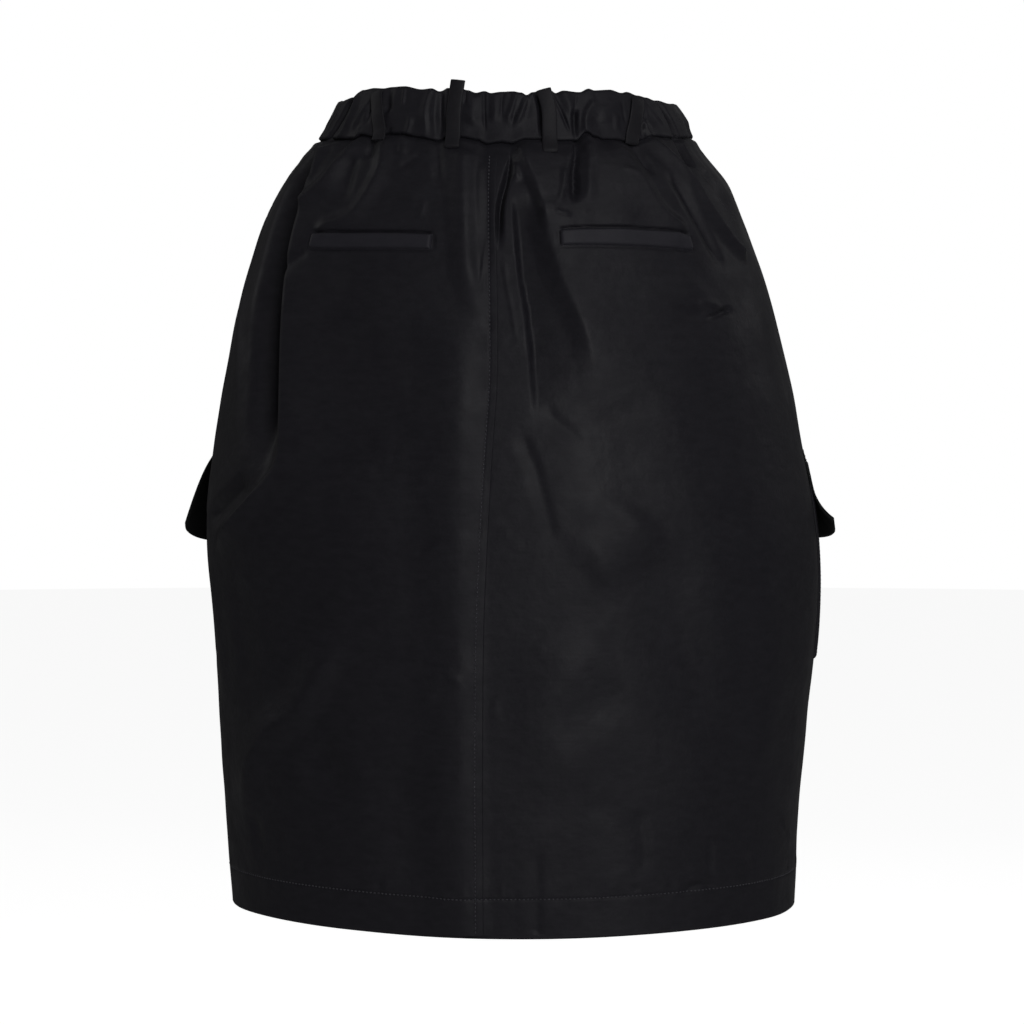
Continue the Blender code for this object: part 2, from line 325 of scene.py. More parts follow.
def heightAt(turn, down):
    rise = form["hemRise"] * np.sin(np.radians(turn)) ** 2 * np.clip(down / form["length"], 0, 1) ** 2
    return -form["bandHeight"] / 2 - down + rise - waistDip(turn, down)


def formPoints(turn, down):
    turn, down = np.broadcast_arrays(np.asarray(turn, float), np.asarray(down, float))
    left, right, back, front = sizesAt(down)[:4]
    across, along = np.sin(np.radians(turn)), np.cos(np.radians(turn))
    halfWidth = np.where(across < 0, left, right)
    halfDepth = np.where(along > 0, back, front)
    power = form["power"]
    radius = (abs(across / halfWidth) ** power + abs(along / halfDepth) ** power) ** (-1 / power)
    return np.stack([radius * across, -radius * along, heightAt(turn, down)], axis=-1)


def radiusAt(turn, down):
    return np.linalg.norm(formPoints(turn, down)[..., :2], axis=-1)


def unit(vectors):
    return vectors / np.linalg.norm(vectors, axis=-1, keepdims=True)


def outwardOf(turn, down, smallTurn=0.2, smallDown=0.6):
    # the way out of the form, square to it
    roundIt = formPoints(turn + smallTurn, down) - formPoints(turn - smallTurn, down)
    downIt = formPoints(turn, down + smallDown) - formPoints(turn, down - smallDown)
    return unit(np.cross(downIt, roundIt))


def wrapped(turn):
    return (turn + 180) % 360 - 180


def waveAt(turn, table):
    # a smooth curve through (turn, value) rows, the same at -180 and 180
    turns, values = np.array(table, float).T
    turn = wrapped(np.asarray(turn, float))
    i = np.clip(np.searchsorted(turns, turn) - 1, 0, len(turns) - 2)
    share = (turn - turns[i]) / (turns[i + 1] - turns[i])
    return values[i] + smooth(share) * (values[i + 1] - values[i])


def throughPoints(route, steps=6):
    # a smooth line through a route's places
    route = np.array(route, float)
    if len(route) == 2:
        return route[0] + np.linspace(0, 1, steps + 1)[:, None] * (route[1] - route[0])
    ends = np.concatenate([[2 * route[0] - route[1]], route, [2 * route[-1] - route[-2]]])
    line = []
    for a, b, c, d in zip(ends, ends[1:], ends[2:], ends[3:]):
        t = np.linspace(0, 1, steps, endpoint=False)[:, None]
        bend, turnBack = 2 * a - 5 * b + 4 * c - d, 3 * b - a - 3 * c + d
        line.append(0.5 * (2 * b + (c - a) * t + bend * t**2 + turnBack * t**3))
    return np.concatenate([*line, route[-1:]])


def fold(route, left, right, rise, crisp=0.3, start=0.2, end=0.3):
    # route holds the places that the fold's middle runs through. left and right are its widths, seen from
    # outside with the route going down. rise is how far it stands out, and a trough's is negative. crisp is
    # 0 for a soft roll and 1 for a pressed crease. start and end are the shares of its length where it fades.
    return {
        "route": route, "left": left, "right": right, "rise": rise, "crisp": crisp,
        "start": max(start, 1e-6), "end": max(end, 1e-6),
    }


def foldRise(points, outward, folds, dropAt):
    # how far all the folds together move each point out
    shape = points.shape[:-1]
    points, outward = points.reshape(-1, 3), outward.reshape(-1, 3)
    rise = np.zeros(len(points))
    for crease in folds:
        turn, down = throughPoints(crease["route"]).T
        line = formPoints(turn, down)
        # places are measured from a level waist, so what later carries them down is taken off here
        line[:, 2] += waistDip(turn, down) + dropAt(turn, down)
        reach = max(crease["left"], crease["right"])
        inReach = (points > line.min(0) - reach) & (points < line.max(0) + reach)
        near = np.nonzero(np.all(inReach, axis=1))[0]
        if len(near) == 0:
            continue
        some, out = points[near], outward[near]
        steps = np.diff(line, axis=0)
        lengths = np.linalg.norm(steps, axis=1)
        before = np.concatenate([[0], np.cumsum(lengths)])
        best, side, along = np.full(len(near), 1e9), np.zeros(len(near)), np.zeros(len(near))
        for i, step in enumerate(steps):
            t = np.clip((some - line[i]) @ step / lengths[i] ** 2, 0, 1)
            away = some - line[i] - t[:, None] * step
            distance = np.linalg.norm(away, axis=1)
            closer = distance < best
            best[closer] = distance[closer]
            side[closer] = np.einsum("ij,ij->i", away[closer], np.cross(out[closer], step))
            along[closer] = (before[i] + t[closer] * lengths[i]) / before[-1]
        x = np.clip(best / np.where(side > 0, crease["right"], crease["left"]), 0, 1)
        profile = (1 - x) ** 2 * (1 + 2 * (1 - crease["crisp"]) * x)
        fade = smooth(along / crease["start"]) * smooth((1 - along) / crease["end"])
        rise[near] += crease["rise"] * profile * fade
    return rise.reshape(shape)


def smoothNoise(points, size, seed, waves=14):
    # a soft random relief, from about -1 to 1, whose bumps are about size across
    rng = np.random.default_rng(seed)
    total = np.zeros(points.shape[:-1])
    for _ in range(waves):
        way = rng.normal(size=3)
        way *= math.tau / (size * rng.uniform(1.4, 3.0)) / np.linalg.norm(way)
        total += np.sin(points @ way + rng.uniform(0, math.tau))
    return total / 5


# the left side's hard edge; one column of the mesh follows it
leftCrest = [
    (-68, 4), (-61.5, 21), (-59, 36), (-57.5, 52), (-56.5, 82), (-54.5, 112), (-52.5, 145), (-50.5, 185),
    (-49.5, 212), (-50, 228), (-52.5, 242), (-57.5, 260), (-64, 278), (-70, 292),
]
backFolds = [
    # left side: a hard edge where the back turns to the side, and a deep trough behind it
    fold(leftCrest, 10, 50, 7, crisp=0.8, start=0.03, end=0.12),
    fold([(-52, 3), (-51.8, 12), (-52.8, 22), (-54.3, 35), (-56.8, 44), (-60, 50)], 8, 14, 4, crisp=0.9,
         start=0.02, end=0.15),
    fold([(-61, 6), (-59, 22), (-58.5, 34)], 7, 6, -2.5, crisp=0.2),
    fold([(-72, 6), (-66, 24), (-63, 50), (-61, 82), (-59, 112), (-57, 145), (-55, 185), (-54, 214),
         (-57, 238)], 29, 11, -17, crisp=0.2, start=0.08, end=0.25),
    fold([(-51, 230), (-54.5, 248), (-59, 264), (-65, 280), (-71, 294)], 7, 15, 4.2, crisp=0.3, start=0.3),
    fold([(-86, 16), (-84, 50), (-80, 84), (-75, 112), (-71, 142), (-67, 176), (-64, 205), (-62, 230)],
         16, 12, 1.5, crisp=0.3),
    fold([(-59, 238), (-65, 254), (-76, 274)], 10, 14, -5, crisp=0.1),
    fold([(-75, 300), (-73, 350), (-72, 410)], 16, 16, 1.8, crisp=0),
    fold([(-63, 306), (-62, 350), (-61, 400)], 14, 26, -1.6, crisp=0),
    # left of the band's middle
    fold([(-41.8, 2), (-38, 20), (-38.3, 36), (-39.8, 47), (-41.5, 55), (-44.5, 60), (-48, 63),
         (-51.5, 67)], 9, 13, 3.2, crisp=0.5, start=0.06, end=0.12),
    fold([(-50, 12), (-47, 32), (-46, 48)], 14, 9, -3.5, crisp=0.1),
    fold([(-46.5, 2), (-45, 9), (-43, 18)], 5, 6, -3.5, crisp=0.2, start=0.1, end=0.4),
    fold([(-35, 0), (-34, 7), (-31.5, 14)], 5, 6, 2.4, crisp=0.3, start=0.1),
    fold([(-25, 11), (-28, 17), (-32, 23)], 6, 5, -2.2, crisp=0.3),
    fold([(-21.4, 0), (-19.5, 12), (-17.5, 24), (-15.5, 40)], 7, 6, -4.5, crisp=0.5, start=0, end=0.6),
    fold([(-34, 44), (-27, 43), (-20, 45)], 4, 5, 1.2, crisp=0.6),
    fold([(-20, 44), (-21, 60)], 3, 4, 0.9, crisp=0.5),
    fold([(-51.5, 79), (-54.5, 88), (-58, 99)], 7, 8, -1.8, crisp=0.4),
    # the roll beside the centre back seam
    fold([(-9.6, 6), (-8.2, 30), (-6.4, 60), (-4.8, 92), (-2, 114), (-0.6, 140)], 15, 10, 4, crisp=0,
         start=0.08, end=0.4),
    fold([(-0.6, 16), (0.4, 50), (1, 80), (1.4, 100)], 6, 6, -1.4, crisp=0.3),
    fold([(-6.4, 90), (-5.2, 250), (-5.2, 400), (-5, 550)], 36, 22, 4, crisp=0, start=0.2, end=0),
    fold([(1, 70), (0, 91), (-0.6, 112)], 2.5, 2.5, 0.7, crisp=0.5),
    fold([(-13, 237), (-6.6, 236), (0, 239)], 4, 5, -1.3, crisp=0.6),
    fold([(-8.5, 368), (-3, 376)], 3.5, 3, 1.2, crisp=0.5),
    # right of the seam: a pleat, a broad hollow and the light ridge beyond it
    fold([(8.2, 0), (7.5, 12), (6.4, 30), (4.9, 44), (4.3, 56), (4.5, 74), (4.7, 82)], 2.6, 5, -9,
         crisp=0.6, start=0, end=0.3),
    fold([(6, 82), (7, 103), (8.6, 122), (10, 148)], 3, 3, 0.4, crisp=0.4),
    fold([(10.2, 6), (13.2, 20), (15.8, 32), (17.6, 44), (19, 58), (20.4, 72)], 7, 22, 4.6, crisp=0.4,
         start=0.1, end=0.3),
    fold([(9.4, 18), (10.2, 34)], 4, 7, 3, crisp=0.3, start=0.3),
    fold([(9.8, 42), (10.4, 67), (11.4, 96), (13, 122), (14, 148), (14.6, 174), (15, 204)], 3.5, 38, -6.5,
         crisp=0.4, start=0.12, end=0.35),
    fold([(18.6, 43), (18.8, 60), (19.8, 75), (21.4, 88), (23, 103), (26, 122), (28.4, 142), (29.4, 162),
         (30.3, 182)], 15, 46, 4.5, crisp=0.6, start=0.1, end=0.4),
    fold([(32.5, 180), (35.6, 208), (37.4, 235), (38.9, 264)], 52, 46, -2.8, crisp=0.3),
    fold([(39.5, 256), (34, 281), (25, 304)], 50, 30, 3.4, crisp=0.3),
    fold([(16.2, 187), (20, 197), (23, 204), (26.5, 211)], 9, 7, -1.6, crisp=0.3),
    fold([(11.6, 199), (12, 212), (14.3, 228), (16, 247), (17.6, 266), (19.4, 286)], 10, 7, -1.5,
         crisp=0.3),
    # the deep groove under the band's right half, with its lit lips
    fold([(33, 0), (31.2, 10), (29, 24), (28, 38), (27.4, 50)], 3, 7, -8, crisp=0.5, start=0, end=0.22),
    fold([(26.5, 22), (25, 38), (22.8, 51)], 4, 4.5, 2, crisp=0.4),
    fold([(35.6, 6), (33.8, 22), (32.3, 40), (30.4, 51)], 4, 9, 2.6, crisp=0.4, start=0.1),
    fold([(21.6, 55), (24, 56.5), (26.5, 57)], 3, 3, 1.6, crisp=0.4),
    fold([(40, 8), (41, 40), (42, 72)], 22, 22, 2, crisp=0),
    fold([(44, 24), (49.5, 31)], 3.5, 3, 1, crisp=0.5),
    # right side: two hard edges with troughs between
    fold([(45, 2), (47.6, 12), (48.6, 22), (49.4, 32), (50.6, 43), (52.3, 52), (54.8, 59.5), (58.8, 67)],
         24, 8, 4.6, crisp=0.55, start=0.08, end=0.1),
    fold([(52.2, 0), (53, 14), (53.6, 32)], 6, 6, -5.5, crisp=0.4, start=0, end=0.4),
    fold([(58, 24), (60.5, 36), (62, 50), (64, 66), (66, 82), (67.5, 96)], 9, 7, -4.2, crisp=0.2),
    fold([(60.8, -1), (62.4, 12), (64, 22), (65.8, 32), (67.8, 47), (71, 62), (75, 75), (80, 84)], 12, 8,
         4.8, crisp=0.55, start=0, end=0.1),
    fold([(73.4, -2), (71, 10), (69, 24)], 5, 8, -12, crisp=0.3, start=0, end=0.45),
    fold([(73, 20), (76, 40), (81, 60)], 5, 13, -3, crisp=0.3),
    fold([(57.5, 128), (60, 126), (63, 123), (66.5, 120)], 3, 3.4, -3.6, crisp=0.4, start=0.4, end=0.2),
    fold([(50, 119), (54, 123), (59, 125.5)], 9, 8, -1.6, crisp=0.2, start=0.4, end=0.2),
    fold([(56.5, 116.5), (60, 117), (63.5, 118.5)], 4, 5, 1.4, crisp=0.4),
    fold([(52, 94), (57, 106), (62.5, 118)], 9, 10, 0.8, crisp=0.2),
    fold([(55, 263), (58, 269), (61, 274)], 4, 4, -1.5, crisp=0.5),
    # lower half
    fold([(42.5, 276), (44.5, 301), (45.8, 331), (48.3, 363), (51.5, 390), (54.5, 422)], 44, 36, -2.8,
         crisp=0),
    fold([(-33, 344), (-39, 366), (-47, 402), (-53.5, 415), (-58, 429), (-63, 453), (-67, 494)], 30, 20,
         6.5, crisp=0.5),
    fold([(-44, 424), (-39, 446), (-36, 462)], 26, 26, -3.5, crisp=0.1),
    fold([(-30, 120), (-34, 180), (-32, 250)], 60, 60, -2.5, crisp=0),
    fold([(22, 330), (20, 400), (24, 470)], 40, 46, 2.5, crisp=0),
    fold([(34, 372), (26, 398), (19, 420)], 30, 26, -1.3, crisp=0),
    fold([(-22, 420), (-20, 480), (-18, 530)], 34, 30, -2.4, crisp=0),
    fold([(64, 300), (67, 380), (66, 460)], 26, 34, 2.6, crisp=0.1),
    fold([(-62, 478), (-61, 500), (-60, 512)], 10, 12, -2, crisp=0.2),
    fold([(15, 486), (15.4, 548)], 10, 6, -1.2, crisp=0.4, start=0.2, end=0),
    fold([(39, 462), (40.8, 486), (41.2, 512)], 14, 6, -1.4, crisp=0.4),
    fold([(49.5, 524), (54, 520.5), (58, 524)], 4, 6, -2, crisp=0.5),
    fold([(55.8, 488), (56.4, 516)], 5, 4, -1.3, crisp=0.4),
    fold([(66.5, 500), (68, 519)], 5, 5, -1.2, crisp=0.4),
    fold([(77, 483), (79.5, 493)], 3, 3, 1.4, crisp=0.5),
    fold([(80, 491), (83, 503)], 3, 3, 1.4, crisp=0.5),
]

frontFolds = [
    fold([(-104, 4), (-110, 40), (-116, 90), (-119, 150), (-117, 214)], 50, 13, 6, crisp=0.3, start=0.05,
         end=0.3),
    fold([(-97, 6), (-101, 60), (-105, 120), (-106, 190)], 14, 20, -8, crisp=0.3, start=0.1, end=0.4),
    fold([(-124, 0), (-126, 24), (-132, 50), (-138, 70)], 22, 7, 3.5, crisp=0.8, start=0),
    fold([(-141, 0), (-139, 16), (-136, 36)], 6, 6, -4.5, crisp=0.5, start=0, end=0.5),
    fold([(-152, 4), (-148, 60), (-142, 130), (-137, 200), (-136, 260)], 18, 40, -5, crisp=0.3, start=0.1,
         end=0.5),
    fold([(-163, 2), (-160, 40), (-155, 96), (-151, 170), (-150, 240)], 34, 16, 4, crisp=0.5, start=0.05,
         end=0.4),
    fold([(-171, 0), (-172, 20), (-174, 46), (-173, 80)], 5, 5, -6, crisp=0.7, start=0, end=0.3),
    fold([(177, 0), (174, 30), (172, 70), (173, 120)], 8, 10, 2.4, crisp=0.4, start=0.05),
    fold([(166, 0), (164, 18), (165, 40), (163, 60)], 5, 6, -5, crisp=0.6, start=0),
    fold([(156, 2), (158, 40), (162, 100), (164, 180), (162, 250)], 16, 30, -4.5, crisp=0.3, end=0.5),
    fold([(149, 0), (150, 30), (154, 80), (156, 140)], 34, 12, 3.6, crisp=0.6, start=0.05),
    fold([(138, 0), (136, 20), (132, 44)], 6, 7, -4.5, crisp=0.5, start=0, end=0.5),
    fold([(127, 0), (125, 24), (120, 52), (116, 78)], 6, 24, 3.6, crisp=0.85, start=0),
    fold([(108, 0), (110, 40), (114, 90), (117, 150), (116, 210)], 14, 44, 6, crisp=0.3, start=0.03,
         end=0.3),
    fold([(100, 6), (103, 50), (106, 110), (108, 180)], 18, 13, -7, crisp=0.3, start=0.1, end=0.4),
    fold([(-128, 150), (-133, 158), (-139, 160)], 6, 9, -3.5, crisp=0.8, start=0.4),
    fold([(-150, 270), (-145, 330), (-138, 400)], 34, 22, -2.4, crisp=0.3),
    fold([(142, 300), (146, 350), (153, 410), (158, 470)], 24, 36, 2.8, crisp=0.3),
    fold([(168, 250), (165, 290), (160, 322)], 20, 34, -2.4, crisp=0.4),
    fold([(-168, 360), (-172, 420), (-171, 500)], 26, 26, 2.2, crisp=0.2),
    fold([(126, 400), (130, 450), (131, 520)], 22, 16, -2, crisp=0.3, end=0),
    fold([(-122, 420), (-126, 470), (-127, 540)], 16, 24, -2, crisp=0.3, end=0),
    fold([(180, 236), (174, 238), (169, 236)], 4, 4, -1.3, crisp=0.6),
    fold([(-160, 520), (-155, 517), (-151, 520)], 4, 7, -2.2, crisp=0.5),
    fold([(150, 519), (146, 516), (142, 520)], 4, 7, -2, crisp=0.5),
]

crumples = {
    "gathers": 58,  # tucks all round, under the band
    "gatherLength": (14, 62),
    "gatherRise": (0.35, 1.1),
    "nips": 120,  # very short ones, right at the seam
    "nipLength": (3, 13),
    "nipRise": (0.5, 1.3),
    "dents": 90,  # small marks all over
    "dentDowns": (40, 505),
    "dentLength": (4, 15),
    "dentRise": (0.2, 0.6),
    "hemPuckers": 74,
    "puckerDown": 521,
    "puckerRise": (0.25, 0.75),
    "seed": 7,
}


def smallFolds():
    rng = np.random.default_rng(crumples["seed"])
    folds = []

    def scattered(count, first, last, spread):
        return np.linspace(first, last, count) + rng.uniform(-spread, spread, count)

    def inOrOut():
        return rng.choice([-1, 1])

    for turn in scattered(crumples["gathers"], -178, 178, 2.2):
        length, lean = rng.uniform(*crumples["gatherLength"]), rng.normal(0, 1.2)
        rise = rng.uniform(*crumples["gatherRise"]) * inOrOut()
        width = rng.uniform(2.6, 5.2)
        route = [(turn, 0), (turn + lean, length * 0.5), (turn + 1.6 * lean, length)]
        folds.append(fold(route, width, width * rng.uniform(0.7, 1.4), rise, crisp=0.4, start=0, end=0.7))
    for turn in scattered(crumples["nips"], -179, 179, 1.4):
        length, width = rng.uniform(*crumples["nipLength"]), rng.uniform(1.6, 3.0)
        route = [(turn, -1), (turn + rng.normal(0, 0.7), length)]
        rise = rng.uniform(*crumples["nipRise"]) * inOrOut()
        folds.append(fold(route, width, width, rise, crisp=0.4, start=0, end=0.8))
    for _ in range(crumples["dents"]):
        turn, down = rng.uniform(-180, 180), rng.uniform(*crumples["dentDowns"])
        way, length = rng.uniform(0, math.pi), rng.uniform(*crumples["dentLength"])
        acrossIt, downIt = length * math.cos(way) / 3, length * math.sin(way)
        middle = (turn, down + rng.normal(0, 1.5))
        route = [(turn - acrossIt, down - downIt), middle, (turn + acrossIt, down + downIt)]
        left, right = rng.uniform(3, 9), rng.uniform(3, 9)
        rise = rng.uniform(*crumples["dentRise"]) * inOrOut()
        folds.append(fold(route, left, right, rise, crisp=0.5, start=0.4, end=0.4))
    for turn in scattered(crumples["hemPuckers"], -180, 176, 2):
        middle = crumples["puckerDown"] + rng.uniform(-5, 4)
        length = rng.uniform(4, 15)
        route = [(turn, middle - length), (turn + rng.normal(0, 0.6), middle + length)]
        left, right = rng.uniform(2.4, 5), rng.uniform(2.4, 5)
        rise = rng.uniform(*crumples["puckerRise"]) * inOrOut()
        folds.append(fold(route, left, right, rise, crisp=0.4, start=0.45, end=0.45))
    return folds


seamWave = [  # how much lower the waist seam runs, in mm
    (-180, 0), (-160, 1), (-146, -1.5), (-128, 1.5), (-110, 0), (-96, 1), (-80, 0.5), (-68, 0.3),
    (-56, 0.5), (-53, -2.6), (-46, -0.5), (-43, -3.6), (-37, -4), (-29, -1.8), (-23, 0), (-19, -2.5),
    (-12, -2.6), (-6, -0.8), (-2, 2), (4, 1), (8.6, 2), (14, -0.7), (20, -0.4), (29, 1.2), (34, 1.4),
    (37.5, -4), (41, -0.8), (44, 1.4), (48.5, 1.8), (54, 4.2), (57.7, 2.6), (62, 0), (72, 1), (90, 0),
    (110, 1.5), (126, -1), (146, 1.5), (164, -0.5), (180, 0),
]
seamReach = 30  # and how far above and below it the cloth is carried along
welts = {
    "left": {"turns": (-51.6, -16), "downs": (69, 80), "arch": 1.2, "tilt": 0},
    "right": {"turns": (22.6, 59), "downs": (67.4, 78.4), "arch": 2.6, "tilt": 2.5},
}
weltShape = {
    "rise": 1.7,
    "rounding": 1.5,  # mm from the long edges to full height
    "endRounding": 2,
    "crown": 0.25,
    "footDip": 0.5,
    "turnWidth": 2.2,  # mm to a degree here
    "columns": 75,
    "frontRows": 15,
    "backRows": 8,
}
mouthGroove = {  # the dark line round a welt
    "width": 1.7,
    "depth": 3.0,
    "footDepth": 1.05,
    "endWidth": 1.8,
    "endDepth": 1.4,
}


def weltDown(welt, turn, foot):
    # the mouth bows upwards in its middle, and both edges may drop towards the right
    start, end = welt["turns"]
    share = np.clip((turn - start) / (end - start), 0, 1)
    bow = welt["arch"] * np.sin(math.pi * share) ** 0.8 * (1 - 0.5 * foot)
    return welt["downs"][0] + foot * (welt["downs"][1] - welt["downs"][0]) - bow + welt["tilt"] * share**2


def weltFolds():
    folds = []
    width, endWidth = mouthGroove["width"], mouthGroove["endWidth"]
    for welt in welts.values():
        turns = np.linspace(*welt["turns"], 7)
        top = list(zip(turns, weltDown(welt, turns, 0) - 0.8))
        foot = list(zip(turns, weltDown(welt, turns, 1) + 0.5))
        for route, depth in ((top, mouthGroove["depth"]), (foot, mouthGroove["footDepth"])):
            folds.append(fold(route, width, width, -depth, crisp=0.4, start=0.03, end=0.03))
        for turn in (turns[0] - 0.3, turns[-1] + 0.3):
            route = [(turn, weltDown(welt, turn, 0)), (turn, weltDown(welt, turn, 1))]
            depth = mouthGroove["endDepth"]
            folds.append(fold(route, endWidth, endWidth, -depth, crisp=0.4, start=0.1, end=0.1))
    return folds


hem = {"height": 28, "wall": 1.9, "groove": 1.8, "grooveDepth": 0.5}
seamStitching = {"beside": 5.2, "groove": 1.3, "grooveDepth": 0.45}


def hemGrooves():
    # the stitches sink in; one groove for each quarter of the way round
    down = form["length"] - hem["height"]
    return [
        fold(
            [(turn, down) for turn in np.linspace(quarter, quarter + 90, 10)],
            hem["groove"], hem["groove"], -hem["grooveDepth"], crisp=0.5, start=0, end=0,
        )
        for quarter in (-180, -90, 0, 90)
    ]


def besideSeam(down):
    # the row of stitches runs down the left of the centre back seam
    return centreTurn(down) - np.degrees(seamStitching["beside"] / radiusAt(0, down))


def seamGroove():
    downs = np.linspace(6, form["length"] - 1, 24)
    width, depth = seamStitching["groove"], seamStitching["grooveDepth"]
    return fold(list(zip(besideSeam(downs), downs)), width, width, -depth, crisp=0.4, start=0, end=0)


allFolds = backFolds + frontFolds + smallFolds() + weltFolds() + hemGrooves() + [seamGroove()]
print("folds placed:", len(allFolds))

# depth and size in mm, and the seed, of the soft unevenness, the broader waves and the finer ripples
relief = ((0.5, 36, 3), (1.1, 110, 4), (0.12, 15, 6))


def seamDrop(turn, down):
    # the wavy waist seam carries the cloth beside it up and down
    return waveAt(turn, seamWave) * (1 - smooth(abs(down) / seamReach))


def clothPoints(turn, down, off=0.0):
    # the cloth's outer face, with all its folds
    turn, down = np.broadcast_arrays(np.asarray(turn, float), np.asarray(down, float))
    points = formPoints(turn, down)
    outward = outwardOf(turn, down)
    rise = foldRise(points, outward, allFolds, seamDrop)
    for depth, size, seed in relief:
        rise += depth * smoothNoise(points, size, seed)
    rise *= 0.5 + 0.5 * smooth(down / 12)
    points = points + outward * (rise + off)[..., None]
    points[..., 2] -= seamDrop(turn, down)
    return points


def addMesh(name, points, faces, material):
    mesh = bpy.data.meshes.new(name)
    mesh.from_pydata((np.reshape(points, (-1, 3)) * mm).tolist(), [], faces)
    mesh.shade_smooth()
    mesh.materials.append(material)
    piece = bpy.data.objects.new(name, mesh)
    bpy.context.scene.collection.objects.link(piece)
    return piece


def makePiece(name, grid, material, ring=False, sharpAngle=None):
    # a mesh through a grid of points, rows downwards and columns in growing turn; ring joins the last row to
    # the first and closes both end columns
    rows, columns = grid.shape[:2]
    number = np.arange(rows * columns).reshape(rows, columns)
    if ring:
        number = np.concatenate([number, number[:1]])
    a, b, c, d = number[:-1, :-1], number[1:, :-1], number[1:, 1:], number[:-1, 1:]
    faces = np.stack([a, b, c, d], axis=-1).reshape(-1, 4).tolist()
    if ring:
        faces.append(number[:-1, 0][::-1].tolist())
        faces.append(number[:-1, -1].tolist())
    piece = addMesh(name, grid, faces, material)
    if sharpAngle:
        piece.data.set_sharp_from_angle(angle=math.radians(sharpAngle))
    return piece


def thicken(piece, thickness):
    # the cloth's own thickness, added on the inner side
    solid = piece.modifiers.new("thickness", "SOLIDIFY")
    solid.thickness = thickness * mm
    solid.offset = -1
    solid.use_even_offset = False


def finishPiece(piece, node):
    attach(piece, "root")
    if node:
        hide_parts(node)


panel = {
    "cloth": 0.7,
    "seamWidth": 1.1,  # the cloth dips into a seam over this width
    "seamDepth": 0.04,
    "waistTuck": 2.2,  # and goes this far in under the band
    "seamSteps": [0.4, 0.4, 0.5, 0.7, 0.9],  # the mesh's columns are closest together at a seam
    "fineStep": 1.2,
    "crestShare": 0.33,  # how far across the left half its hard edge runs
    # name: node, its two edges, width round the hips, column spacing, fine columns at each edge, cut and area
    "pieces": {
        "skirt_back_left": ("back_left", leftSide, centreTurn, 262, 2.15, (2, 14), (0.300, 0.585), 0.168),
        "skirt_back_right": ("back_right", centreTurn, rightSide, 262, 2.15, (14, 2), (0.300, 0.585), 0.168),
        "skirt_front": ("front", rightSide, leftSideRound, 560, 3.5, (2, 2), (0.640, 0.585), 0.335),
    },
}


def panelRows():
    # start, end and spacing of the rows in each stretch down the skirt
    foot = form["length"]
    stretches = (
        (-3, 60, 1.3), (60, 62, 1), (62, 86, 0.9), (86, 130, 1.5), (130, 300, 2.6), (300, foot - 40, 3.2),
        (foot - 40, foot - 22, 0.9), (foot - 22, foot - 4, 2.0), (foot - 4, foot - 1, 0.75),
    )
    rows = [np.array([stretches[0][0]])]
    for start, end, step in stretches:
        count = math.ceil((end - start) / step)
        rows.append(np.linspace(start, end, count + 1)[1:])
    return np.concatenate(rows)


def panelColumns(width, step, fineColumns):
    # shares from 0 to 1 across a panel, closer together at the seams
    first, last = (panel["seamSteps"] + [panel["fineStep"]] * count for count in fineColumns)
    middle = width - sum(first) - sum(last)
    count = math.ceil(middle / step)
    places = np.concatenate([[0], np.cumsum(first + [middle / count] * count + last[::-1])])
    return places / places[-1]


def followCrest(start, end, share, downs, route):
    # moves the columns so that one of them runs along a hard fold's crest, which then has no jagged edge
    turn, down = throughPoints(route).T
    crestTurn = np.interp(downs, down - waistDip(turn, down) - seamDrop(turn, down), turn)
    crest = (crestTurn - start) / (end - start)
    knot = share[np.argmin(abs(share - panel["crestShare"]))]
    beyond = crest + (share - knot) / (1 - knot) * (1 - crest)
    return start + np.where(share < knot, share / knot * crest, beyond) * (end - start)


def panelGrid(startTurn, endTurn, share, rows, crestRoute):
    # the outside, down to the hem's edge, round it, and up the inside to the hem's stitching
    hemEdge = [(0.4, 0.25), (0.05, 0.7), (0.1, 1.25), (0.6, 1.7), (2, hem["wall"])]  # mm up, and in
    inside = [(up, hem["wall"]) for up in (6, 12, 18, 24, hem["height"] - 1.5)]
    ups, ins = np.transpose(hemEdge + inside)
    downs = np.concatenate([rows, form["length"] - ups])[:, None]
    inset = np.concatenate([np.zeros(len(rows)), ins])[:, None]
    start, end = startTurn(downs), endTurn(downs)
    turn = start + share * (end - start)
    if crestRoute:
        turn = followCrest(start, end, share, downs, crestRoute)
    fromStart = np.radians(abs(turn - start)) * radiusAt(start, downs)
    fromEnd = np.radians(abs(end - turn)) * radiusAt(end, downs)
    dip = panel["seamDepth"] * (1 - smooth(np.minimum(fromStart, fromEnd) / panel["seamWidth"]))
    tuck = panel["waistTuck"] * (1 - smooth((downs + 0.6) / 3.4))
    return clothPoints(turn, downs, -(dip + tuck + inset))


def addPanels():
    rows = panelRows()
    for name, (node, startTurn, endTurn, width, step, fineColumns, flat, area) in panel["pieces"].items():
        crestRoute = leftCrest if node == "back_left" else None
        columns = panelColumns(width, step, fineColumns)
        grid = panelGrid(startTurn, endTurn, columns, rows, crestRoute)
        piece = makePiece(name, grid, shellCloth)
        thicken(piece, panel["cloth"])
        finishPiece(piece, node)
        print(name, grid.shape[:2])


